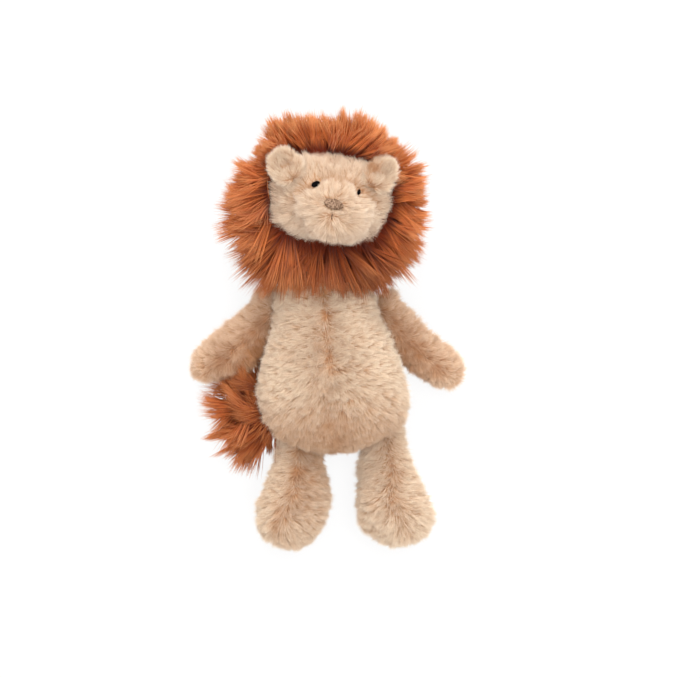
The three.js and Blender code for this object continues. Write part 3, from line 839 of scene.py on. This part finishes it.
# %% Comb the mane and the tail
MANE_OUTLINE = np.array((
    (-45.4, 141), (-46.7, 155.5), (-27.5, 161), (-8.3, 161.5), (15.4, 162), (32, 158), (40, 150.7),
    (49.3, 140.8), (57.6, 128), (60, 115.2), (61, 99.2), (58, 86.4), (55.5, 76.8), (53.4, 66),
    (44, 54.4), (39.7, 49), (26.9, 46.5), (4.5, 48), (-21.1, 46.7), (-40.3, 48), (-54.4, 52),
    (-61.8, 64), (-67, 73.6), (-71.5, 83.2), (-73, 91.5), (-70.1, 102.4), (-66, 113.9),
    (-65, 124.8), (-60, 132), (-54.4, 140.8),
))
MANE_CENTRE = np.array((-2.5, 104.5))
MANE_LONG = 30.0
CROWN, LEFT_SIDE, RIGHT_SIDE, BIB, NAPE, COVERED = 1, 2, 3, 4, 5, 6


def mane_angle(points):
    way = points[:, :2] - MANE_CENTRE
    return np.degrees(np.arctan2(way[:, 1], way[:, 0])) % 360


outline_angle = mane_angle(MANE_OUTLINE)
outline_reach = np.hypot(*(MANE_OUTLINE - MANE_CENTRE).T)
outline_order = np.argsort(outline_angle)


def mane_direction(points, normals):
    x, y, z = points.T
    way = unit(points[:, :2] - MANE_CENTRE)
    crown = share((y - 120) / 14)
    way[:, 0] *= 1 - 0.35 * crown
    way[:, 1] -= 0.28 * (1 - crown) * share(abs(x) / 35)
    bib = share((92 - y) / 20)
    lift = np.clip((z - 22) / 34, -0.5, 0.75) * (1 - bib) + bib * np.clip((z - 25) / 60, -0.3, 0.4)
    return np.column_stack([way, lift])


def mane_length(points, normals):
    _, y, z = points.T
    gone = np.hypot(*(points[:, :2] - MANE_CENTRE).T)
    order = outline_order
    reach = np.interp(mane_angle(points), outline_angle[order], outline_reach[order], period=360)
    depth = np.clip((z + 14) / 44, 0.45, 1.12)
    low = share((80 - y) / 8) * share((42 - z) / 6)
    crown = share((y - 118) / 14)
    long = 1.03 * np.clip((reach - gone) * depth / MANE_LONG, 0.5, 1.5)
    return long * (1 - 0.55 * low) * (1 - 0.14 * crown) * (1 + 0.1 * ripple(points * MM, 0.02, 33))


def mane_panel(points, normals):
    """The length of fur by its angle, or none where the face covers the hood."""
    angle = mane_angle(points)
    ranges = [(angle >= start) & (angle < end) for start, end in ((45, 135), (135, 228), (228, 312))]
    side = np.select(ranges, [CROWN, LEFT_SIDE, BIB], RIGHT_SIDE)
    cosine, sine = math.cos(HEAD_TURN), math.sin(HEAD_TURN)
    turned = (points[:, :2] - np.array(FACE_PLACE[:2])) @ np.array(((cosine, -sine), (sine, cosine)))
    inside = (abs(turned[:, 0]) / 37.5) ** 2.5 + (abs(turned[:, 1]) / 28.5) ** 2.5 < 1
    side = np.where(normals[:, 2] < -0.72, NAPE, side)
    return np.where(inside & (points[:, 2] > 38), COVERED, side)


# Painted shade under the chin and painted light on the crown; the right side is a little paler.
def mane_painted_shading(points):
    bib = share((94 - points[:, 1]) / 24)
    crown = share((points[:, 1] - 116) / 14)
    right = share((points[:, 0] - 24) / 12) * (1 - bib)
    return 0.75 * bib - 0.6 * crown - 0.15 * right


comb(hood_skin, mane_direction, mane_length, mane_panel, mane_painted_shading, 0.24, 21, 0.12, along_skin=False)


def tuft_direction(points, normals):
    local = points - TAIL_ROOT
    fan = np.clip(0.036 * (points[:, 1] + 28), -0.9, 0.45)
    near_root = share((12 - local @ tail_along) / 10) * share((-30 - points[:, 1]) / 6)
    return columns(-1, fan - 1.3 * near_root, 0.05 * local[:, 2])


def tuft_length(points, normals):
    return 1 + 0.15 * ripple(points * MM, 0.01, 8)


def tuft_panel(points, normals):
    return np.where((points - TAIL_ROOT) @ tail_along > 0, 1, 2)


# Painted shade, darker towards the tuft's root by the body.
def tuft_painted_shading(points):
    return np.clip(0.6 - ((points - TAIL_ROOT) @ tail_along) / 40, 0, 0.6)


comb(tail_skin, tuft_direction, tuft_length, tuft_panel, tuft_painted_shading, 0.25, 36, along_skin=False)
print("mane and tail are combed")

# %% [markdown]
# Pile repeats the same hair many thousands of times, which is work for Geometry Nodes. Hair
# curves would be lost in the export, so each hair is a thin closed cone. One tree makes all
# the pile and another one the stitches, and both are put together with these helpers.


# %% Helpers for the trees
def new_tree(name, numbers, counts):
    """A tree with a mesh, numbers, counts and a finish coming in, and a mesh going out."""
    tree = bpy.data.node_groups.new(name, "GeometryNodeTree")
    kinds = [("Skin", "Geometry"), *((title, "Float") for title in numbers),
             *((title, "Int") for title in counts), ("Finish", "Material")]
    for title, kind in kinds:
        tree.interface.new_socket(title, in_out="INPUT", socket_type="NodeSocket" + kind)
    tree.interface.new_socket("Made", in_out="OUTPUT", socket_type="NodeSocketGeometry")
    graph = Graph(tree)
    return tree, graph, graph.node("NodeGroupInput").also


def named(graph, name, kind="FLOAT_VECTOR"):
    return graph.geometry("InputNamedAttribute", {"Name": name}, data_type=kind)


def stored(graph, geometry, name, value, kind="FLOAT_VECTOR"):
    sockets = {"Geometry": geometry, "Name": name, "Value": value}
    return graph.geometry("StoreNamedAttribute", sockets, data_type=kind, domain="POINT")


def spread(graph, points, instance):
    """One real copy of the instance on each point."""
    copies = graph.geometry("InstanceOnPoints", {"Points": points, "Instance": instance})
    return graph.geometry("RealizeInstances", {"Geometry": copies})


def moved_to(graph, geometry, x, y, z):
    place = graph.shader("CombineXYZ", {0: x, 1: y, 2: z})
    return graph.geometry("SetPosition", {"Geometry": geometry, "Position": place})


def give_out(graph, geometry, finish):
    done = graph.geometry("SetMaterial", {"Geometry": geometry, "Material": finish})
    graph.node("NodeGroupOutput", {0: done})


def built(piece, tree, sizes, spent):
    """Runs a tree on a piece, keeps the plain mesh and drops the attributes that are spent."""
    step = piece.modifiers.new(tree.name, "NODES")
    step.node_group = tree
    for item in tree.interface.items_tree:
        if item.in_out == "INPUT" and item.name in sizes:
            step[item.identifier] = sizes[item.name]
    plain(piece)
    for name in spent:
        if name in piece.data.attributes:
            piece.data.attributes.remove(piece.data.attributes[name])
    print(piece.name, len(piece.data.polygons), "faces")
    return piece


# %% [markdown]
# The pile's tree scatters roots over one panel, puts a cone on each, then bends every cone
# along the comb. Neighbours lean together into tufts, as fibres that cling do. No hair goes
# through the floor: those that would are pressed flat on it, the lower the flatter.

# %% The pile tree
FLOOR_SOFT = 2.5 * MM
PILE_NUMBERS = (
    "Hairs", "Long", "Half width", "Rise", "Lie", "Tuft size", "Cling", "Stray", "Tuft stray",
    "Droop", "Full", "Soft", "Uneven", "Lowest",
)
PILE_COUNTS = ("Panel", "Steps", "Seed")
PILE_SPENT = ("up", "root", "knot", "shade", "chance", "hair", "flow", "pile", "bare", "panel")


def scattered_hairs(graph, given):
    """Straight cones on the panel's roots, each of which knows its own tuft and its luck."""
    panel = {2: named(graph, "panel", "INT"), 3: given("Panel")}
    here = graph.node("FunctionNodeCompare", panel, data_type="INT", operation="EQUAL")
    skin = {"Mesh": given("Skin"), "Selection": here, "Density": given("Hairs"), "Seed": given("Seed")}
    points = graph.geometry("DistributePointsOnFaces", skin, distribute_method="RANDOM")
    place = graph.geometry("InputPosition")
    tuft_scale = graph.shader("Math", {0: 1.0, 1: given("Tuft size")}, operation="DIVIDE")
    tufts = graph.shader("TexVoronoi", {"Vector": place, "Scale": tuft_scale}, voronoi_dimensions="3D")
    limits = {0: (-1, -1, -1), 1: (1, 1, 1), "Seed": given("Seed")}
    chance = graph.node("FunctionNodeRandomValue", limits, data_type="FLOAT_VECTOR")
    normal, knot, shade = points.also("Normal"), tufts.also("Position"), tufts.also("Color")
    facts = dict(up=normal, root=place, knot=knot, shade=shade, chance=chance)
    for name, value in facts.items():
        points = stored(graph, points, name, value)
    sizes = {"Vertices": 3, "Side Segments": given("Steps"), "Radius Top": 0.0,
             "Radius Bottom": 1.0, "Depth": 1.0}
    cone = graph.geometry("MeshCone", sizes, fill_type="NGON")
    return spread(graph, points, stored(graph, cone, "hair", place))


def pile_tree():
    tree, graph, given = new_tree("pile", PILE_NUMBERS, PILE_COUNTS)
    hairs = scattered_hairs(graph, given)
    up = named(graph, "up")
    flow = graph.unit(named(graph, "flow"))
    root = named(graph, "root")
    luck = named(graph, "chance")
    hair_x, hair_y, along = graph.parts(named(graph, "hair"))
    luck_x, luck_y, _ = graph.parts(luck)
    shade_x, shade_y, shade_z = graph.parts(named(graph, "shade"))
    sway = (named(graph, "shade") - (0.5, 0.5, 0.5)) * (2 * given("Tuft stray"))
    stray = luck * given("Stray")
    start = graph.unit(up * given("Rise") + flow * (1 - given("Rise")) + stray + sway)
    fall = graph.shader("CombineXYZ", {2: 0 - given("Droop")})
    end = graph.unit(up * (1 - given("Lie")) + flow * given("Lie") + stray + fall + sway)
    side = graph.unit(graph.cross(end, luck))

    lock_length = 1.14 + given("Uneven") * (shade_z - 1)
    reach = given("Long") * named(graph, "pile", "FLOAT") * (lock_length + 0.1 * luck_y)
    late = along * along * 0.5
    pull = named(graph, "knot") - root
    pull = pull - up * graph.dot(pull, up)
    cling = along * along * given("Cling") * (0.75 + 0.35 * shade_y)
    way = root + (start * (along - late) + end * late) * reach + pull * cling
    girth = given("Half width") * (1 + given("Full") * along)
    outward = side * hair_x + graph.cross(side, end) * (0.65 * hair_y)
    x, y, level = graph.parts(way + outward * girth)
    height = 0.5 * (level + (level * level + FLOOR_SOFT ** 2) ** 0.5) + given("Lowest")
    bent = moved_to(graph, hairs, x, y, height)

    tone = 0.5 + 0.28 * luck_x + 0.6 * (shade_x - 0.5)
    bent = stored(graph, bent, "along", along, "FLOAT")
    bent = stored(graph, bent, "tone", tone, "FLOAT")
    # Each hair carries its skin's painted shade.
    bent = stored(graph, bent, "kept", named(graph, "bare", "FLOAT"), "FLOAT")
    facing = graph.unit(up * given("Soft") + graph.unit(outward) * (1 - given("Soft")))
    normals = {"Mesh": bent, "Custom Normal": facing}
    smooth = graph.geometry("SetMeshNormal", normals, mode="FREE", domain="POINT")
    give_out(graph, smooth, given("Finish"))
    return tree


pile = pile_tree()
print("pile tree:", len(pile.nodes), "nodes")

# %% [markdown]
# A hair is darker at its root, where little light comes, and pale at its tip. Whole tufts
# differ a little in colour too. These numbers come with the hairs as attributes.


# %% Pile finishes
def new_finish(name):
    """A material with its empty graph, and the place of each point in it."""
    finish = bpy.data.materials.new(name)
    graph = cleared(finish)
    return finish, graph, graph.shader("TexCoord", None, "Object")


def surfaced(graph, colour, roughness, more):
    sockets = {"Base Color": colour, "Roughness": roughness, **more}
    graph.shader("OutputMaterial", {"Surface": graph.shader("BsdfPrincipled", sockets)})


def smooth_step(graph, value, low, high):
    return graph.shader("MapRange", {0: value, 1: low, 2: high}, interpolation_type="SMOOTHSTEP")


def pile_finish(name, root, low, high, tip, tip_share):
    finish, graph, place = new_finish(name)
    along, tone, kept = (graph.shader("Attribute", None, "Fac", attribute_name=carried)
                         for carried in ("along", "tone", "kept"))
    cloud = graph.shader("TexNoise", {"Vector": place, "Scale": 45.0, "Detail": 2.0})
    middle = graph.blend(tone * 0.7 + cloud * 0.6 - 0.15, low, high)
    # Painted shade: the root colour covers more of a hair where kept is high, and less where it is below 0,
    # which is painted light.
    colour = graph.blend(smooth_step(graph, along, 0.05, 0.55) * (1 - kept), root, middle)
    ends = smooth_step(graph, along, 0.55, 1.0) * (1 - kept) * tip_share
    soft = {"Sheen Weight": 0.08, "Sheen Roughness": 0.5, "Specular IOR Level": 0.15}
    surfaced(graph, graph.blend(ends, colour, tip), 0.85, soft)
    return finish


pale = pile_finish(
    "pale_pile", tint(194, 141, 96), tint(217, 185, 153), tint(243, 225, 201), tint(251, 239, 221), 0.6)
sandy = pile_finish(
    "sandy_pile", tint(186, 130, 86), tint(206, 164, 128), tint(238, 210, 180), tint(248, 228, 206), 0.6)
cream = pile_finish(
    "cream_pile", tint(196, 152, 116), tint(216, 184, 152), tint(238, 217, 192), tint(249, 235, 218), 0.6)
rust = pile_finish(
    "rust_pile", tint(106, 36, 10), tint(172, 80, 34), tint(222, 132, 74), tint(240, 176, 118), 0.5)
print("pile finishes:", pale.name, sandy.name, cream.name, rust.name)

# %% [markdown]
# Under the pile lies a knitted backing. It shows only where the hairs part, so it is a plain
# cloth with a fine knit, in the pile's darker root colour, which is painted shade. The capsule
# and its beads are hard plastic, and their CAD forms are right: they stay, and only get their
# finish.


# %% Backing cloth, plastic and thread
def backing_cloth(name, dark, light):
    finish, graph, place = new_finish(name)
    waves = {"Vector": place, "Scale": 400.0, "Distortion": 1.5}
    knit = graph.shader("TexWave", waves, bands_direction="DIAGONAL").also("Fac")
    cloud = graph.shader("TexNoise", {"Vector": place, "Scale": 60.0})
    bump = graph.shader("Bump", {"Strength": 0.3, "Distance": 0.0003, "Height": knit})
    surfaced(graph, graph.blend(knit * 0.5 + cloud * 0.5, dark, light), 0.9, {"Normal": bump})
    return finish


def moulded(name, colour, deep):
    """Moulded plastic: nearly one colour, with a faint cloud and fine scuffs in its gloss."""
    finish, graph, place = new_finish(name)
    cloud = graph.shader("TexNoise", {"Vector": place, "Scale": 90.0})
    scuff = graph.shader("TexNoise", {"Vector": place, "Scale": 900.0, "Detail": 4.0})
    surfaced(graph, graph.blend(cloud, colour, deep), 0.3 + 0.2 * scuff, {})
    return finish


def thread(name, dark, light, gloss):
    finish, graph, place = new_finish(name)
    noise = graph.shader("TexNoise", {"Vector": place, "Scale": 1000.0, "Detail": 3.0})
    twist = graph.shader("MapRange", {0: noise, 1: 0.38, 2: 0.62})
    bump = graph.shader("Bump", {"Strength": 0.4, "Distance": 0.0002, "Height": twist})
    more = {"Normal": bump, "Specular IOR Level": gloss}
    surfaced(graph, graph.blend(twist, dark, light), 0.6, more)
    return finish


def dress(piece, finish):
    piece.data.materials.clear()
    piece.data.materials.append(finish)


# The backings are darker than the pile: painted shade under the hairs.
pale_backing = backing_cloth("pale_backing", tint(150, 110, 78), tint(190, 150, 118))
rust_backing = backing_cloth("rust_backing", tint(86, 32, 10), tint(130, 56, 24))
capsule_plastic = moulded("capsule_plastic", tint(232, 236, 238), tint(214, 222, 228))
bead_plastic = moulded("bead_plastic", tint(196, 84, 52), tint(176, 68, 42))
dark_thread = thread("dark_thread", tint(1, 1, 2), tint(7, 6, 7), 0.05)
grey_thread = thread("grey_thread", tint(96, 68, 48), tint(176, 146, 122), 0.15)

dress(hood_skin, rust_backing)
for skin in [body_skin, head_skin, tail_skin, *limb_skins.values(), *ear_skins.values()]:
    dress(skin, pale_backing)
for node_name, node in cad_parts.items():
    if node_name.startswith("capsule"):
        dress(node, capsule_plastic)
    if node_name.startswith("bead"):
        dress(node, bead_plastic)
print("skins, capsule and beads are finished")

# %% [markdown]
# Now the pile grows, one piece for each panel of cloth. The back is less dense, because the
# toy lies on it. Each piece stands for the CAD node of its panel and rides on that body.

# %% Grow the short pile
SHORT = dict(
    Long=7.1 * MM, Half_width=0.22 * MM, Rise=0.52, Lie=0.74, Tuft_size=3.0 * MM, Cling=0.7,
    Stray=0.26, Tuft_stray=0.2, Droop=0.0, Full=1.0, Soft=0.65, Uneven=0.24, Lowest=0.3 * MM,
    Steps=1,
)
EAR_SHORT = dict(Hairs=10e6, Long=6.8 * MM, Rise=0.45, Lie=0.8, Tuft_size=2.2 * MM, Cling=0.4)


def tie(piece, body, slot, *nodes):
    """The piece moves with a body and stands for CAD nodes, which it hides. The slot is not used."""
    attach(piece, body)
    if nodes:
        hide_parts(*nodes)


def grow(node_name, skin, panel, finish, body, slot, seed, sizes):
    """Grows the pile of one panel and keeps it as a plain mesh."""
    sizes = {**sizes, "Panel": panel, "Seed": seed, "Finish": finish}
    sizes = {key.replace("_", " "): value for key, value in sizes.items()}
    piece = new_object(node_name + "_pile", skin.data.copy())
    tie(built(piece, pile, sizes, PILE_SPENT), body, slot, node_name)


short_rows = [
    ("body_front_left", body_skin, 1, pale, "torso", dict(Hairs=5.9e6)),
    ("body_front_right", body_skin, 2, pale, "torso", dict(Hairs=5.9e6)),
    ("body_back", body_skin, 3, pale, "torso", dict(Hairs=2.8e6)),
]
for limb_name, limb in LIMBS.items():
    limb_finish, limb_hairs = (sandy, 6.2e6) if limb_name.startswith("arm") else (pale, 5.6e6)
    for cut, panel in limb["panels"]:
        node_name = f"{limb_name}_{cut}_panel"
        row = (node_name, limb_skins[limb_name], panel, limb_finish, limb["body"])
        short_rows.append((*row, dict(Hairs=limb_hairs)))
short_rows += [
    ("head_face", head_skin, 1, pale, "head", dict(Hairs=5.6e6, Long=8 * MM)),
    ("muzzle", head_skin, 2, cream, "head", dict(Hairs=8e6, Long=7.5 * MM, Rise=0.45, Lie=0.75)),
    ("ear_left", ear_skins["ear_left"], 1, pale, "left_ear", EAR_SHORT),
    ("ear_right", ear_skins["ear_right"], 1, pale, "right_ear", EAR_SHORT),
]
for index, (*row, changes) in enumerate(short_rows):
    slot = "pale_plush" if row[0] == "muzzle" else "short_plush"
    grow(*row, slot, 100 + index, {**SHORT, **changes})

# %% [markdown]
# The mane's hair is four times as long. It stands out from the hood, clings into pointed
# locks and droops a little, so its cones have more steps to bend in.

# %% Grow the mane and the tail's tuft
LONG = dict(
    Long=MANE_LONG * MM, Half_width=0.3 * MM, Rise=0.2, Lie=0.95, Tuft_size=5.4 * MM, Cling=0.92,
    Stray=0.08, Tuft_stray=0.45, Droop=0.12, Full=2.0, Soft=0.1, Uneven=0.34, Lowest=0.3 * MM,
    Steps=3,
)
LONG_ROWS = (
    ("mane_crown", hood_skin, CROWN, "head", dict(Hairs=2.2e6)),
    ("mane_left", hood_skin, LEFT_SIDE, "head", dict(Hairs=2.2e6)),
    ("mane_right", hood_skin, RIGHT_SIDE, "head", dict(Hairs=2.2e6)),
    ("mane_bib", hood_skin, BIB, "head", dict(Hairs=3.1e6, Cling=0.76)),
    ("mane_back", hood_skin, NAPE, "head", dict(Hairs=0.8e6)),
    ("tail_tuft", tail_skin, 1, "tail", dict(Hairs=3.2e6, Long=28 * MM, Tuft_size=5 * MM, Tuft_stray=0.75)),
)
for index, (node_name, skin, panel, body, changes) in enumerate(LONG_ROWS):
    grow(node_name, skin, panel, rust, body, "rust_fur", 200 + index, {**LONG, **changes})

# %% [markdown]
# Eyes, nose and mouth are satin stitch: threads laid side by side across a small oval, each
# a little arch. A tree lays the threads, and the oval is then set on the face.


# %% The satin stitch tree
def stitch_tree():
    tree, graph, given = new_tree("satin_stitch", ("Long", "Tall", "Thread", "Dome"), ("Count",))
    line = graph.geometry("MeshLine", {"Count": given("Count"), "Offset": (0, 0, 0)}, mode="OFFSET")
    index = graph.geometry("InputIndex")
    turn = graph.shader("Math", {0: index + 0.5, 1: given("Count")}, operation="DIVIDE")
    offset = turn * 2 - 1
    points = stored(graph, line, "offset", offset, "FLOAT")
    points = stored(graph, points, "chord", (1 - offset * offset) ** 0.5, "FLOAT")
    sizes = {"Vertices": 6, "Side Segments": 8, "Radius": 1.0, "Depth": 2.0}
    tube = graph.geometry("MeshCylinder", sizes, fill_type="NGON")
    tube = stored(graph, tube, "tube", graph.geometry("InputPosition"))
    threads = spread(graph, points, tube)

    around_x, around_y, along = graph.parts(named(graph, "tube"))
    offset = named(graph, "offset", "FLOAT")
    chord = named(graph, "chord", "FLOAT")
    limits = {2: 0.92, 3: 1.08, "ID": offset * 1000, "Seed": 4}
    wobble = graph.node("FunctionNodeRandomValue", limits, 1, data_type="FLOAT")
    arch = (1 - along * along) ** 0.5
    x = offset * given("Long") * 0.5 + around_x * given("Thread") * 0.5
    y = along * chord * wobble * given("Tall") * 0.5
    z = arch * chord * given("Dome") + around_y * given("Thread") * 0.35
    smooth = graph.geometry("SetShadeSmooth", {"Geometry": moved_to(graph, threads, x, y, z)})
    give_out(graph, smooth, given("Finish"))
    return tree


stitching = stitch_tree()
THREADS = {"dark_thread": dark_thread, "grey_thread": grey_thread}
FEATURES = {
    "eye_left": ("dark_thread", dict(
        at=EYE_LEFT, proud=4.6, turn=25, Long=5.6, Tall=3.9, Dome=1.3, Thread=0.6, Count=10)),
    "eye_right": ("dark_thread", dict(
        at=EYE_RIGHT, proud=4.6, turn=-12, Long=2.1, Tall=3.8, Dome=1.3, Thread=0.6, Count=6)),
    "nose": ("grey_thread", dict(
        at=NOSE, proud=1.8, turn=-16, Long=12.5, Tall=6.6, Dome=1.6, Thread=0.75, Count=18)),
    "mouth_stitch": ("grey_thread", dict(
        at=MOUTH, proud=0.2, turn=-6, Long=1.2, Tall=5.6, Dome=0.5, Thread=0.4, Count=3)),
}


def stitched(name, finish, at, proud, turn, **sizes):
    """A satin-stitched oval on the head's skin, straight under the camera, raised by a few
    millimetres, turned in the face and tilted with it."""
    above = Vector((at[0] * MM, at[1] * MM, 0.2))
    _, spot, normal, _ = head_skin.ray_cast(above, Vector((0, 0, -1)))
    place = (at[0], at[1], spot.z / MM + proud)
    tilt = (normal.x * 0.6, normal.y * 0.6, 1)
    sizes = {key: value * MM if isinstance(value, float) else value for key, value in sizes.items()}
    piece = new_object(name, bpy.data.meshes.new(name))
    built(piece, stitching, {**sizes, "Finish": finish}, ("tube", "offset", "chord"))
    lean = Vector((0, 0, 1)).rotation_difference(Vector(tilt)).to_matrix().to_4x4()
    spin = Matrix.Rotation(math.radians(turn), 4, "Z")
    piece.data.transform(Matrix.Translation(Vector(place) * MM) @ lean @ spin)
    outwards(piece.data)
    print(name, "at", [round(v, 1) for v in place])
    return piece


for node_name, (slot, shape) in FEATURES.items():
    stitch_name = node_name.replace("_stitch", "") + "_stitches"
    tie(stitched(stitch_name, THREADS[slot], **shape), "head", slot, node_name)

# %% [markdown]
# Where the neck and each limb leave the body, the cloth is gathered on a thread. Such a band
# is a ring whose edge runs in even pleats.

# %% Gathered bands
PLEATS = 28
PLEAT_SIDES = PLEATS * 4
BAND_ROWS = 8
BANDS = {
    "neck_gather": "neck_band", "arm_left_gather": "left_shoulder_band",
    "arm_right_gather": "right_shoulder_band", "leg_left_gather": "left_hip_band",
    "leg_right_gather": "right_hip_band",
}


def gathered_band(node_name):
    """A pleated ring in the place of one CAD band. Its size and axis come from that band's box."""
    low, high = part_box(node_name)
    middle = (low + high) / 2
    size = high - low
    axis = min(range(3), key=lambda i: size[i])
    first, second = [i for i in range(3) if i != axis]
    points = []
    for turn in turns(BAND_ROWS):
        for angle in turns(PLEAT_SIDES):
            out = 0.72 + 0.06 * math.cos(angle * PLEATS) + 0.1 * math.cos(turn)
            point = Vector(middle)
            point[first] += size[first] / 2 * out * math.cos(angle)
            point[second] += size[second] / 2 * out * math.sin(angle)
            point[axis] += size[axis] * 0.45 * math.sin(turn)
            points.append(tuple(point))
    name = node_name + "_pleats"
    piece = new_object(name, new_mesh(name, points, strips(BAND_ROWS, PLEAT_SIDES, around=True)))
    dress(piece, pale_backing)
    return piece


for node_name, body in BANDS.items():
    tie(gathered_band(node_name), body, "short_plush", node_name)
print("bands:", ", ".join(BANDS))

# %% [markdown]
# Last, the padded skins are tied to the bodies that they move with. They stand for the
# wadding and the backs that they hide, so the same toy moves in every pose.


def pad(piece, body, slot, *nodes):
    tie(piece, body, slot, *nodes)


pad(body_skin, "torso", "short_plush", "body_wadding_front", "body_wadding_back")
pad(head_skin, "head", "short_plush", "head_back", "head_wadding", "neck_stub")
pad(hood_skin, "head", "rust_fur")
pad(tail_skin, "tail", "short_plush", "tail_stem")
for limb_name, limb in LIMBS.items():
    pad(limb_skins[limb_name], limb["body"], "short_plush", limb_name + "_wadding")
pad(ear_skins["ear_left"], "left_ear", "short_plush")
pad(ear_skins["ear_right"], "right_ear", "short_plush")
print("padded skins are tied")

# %% Count the triangles
pieces = [o for o in bpy.context.scene.objects if o.type == "MESH" and not o.hide_render and o is not floor]
print("triangles:", sum(len(p.vertices) - 2 for o in pieces for p in o.data.polygons))
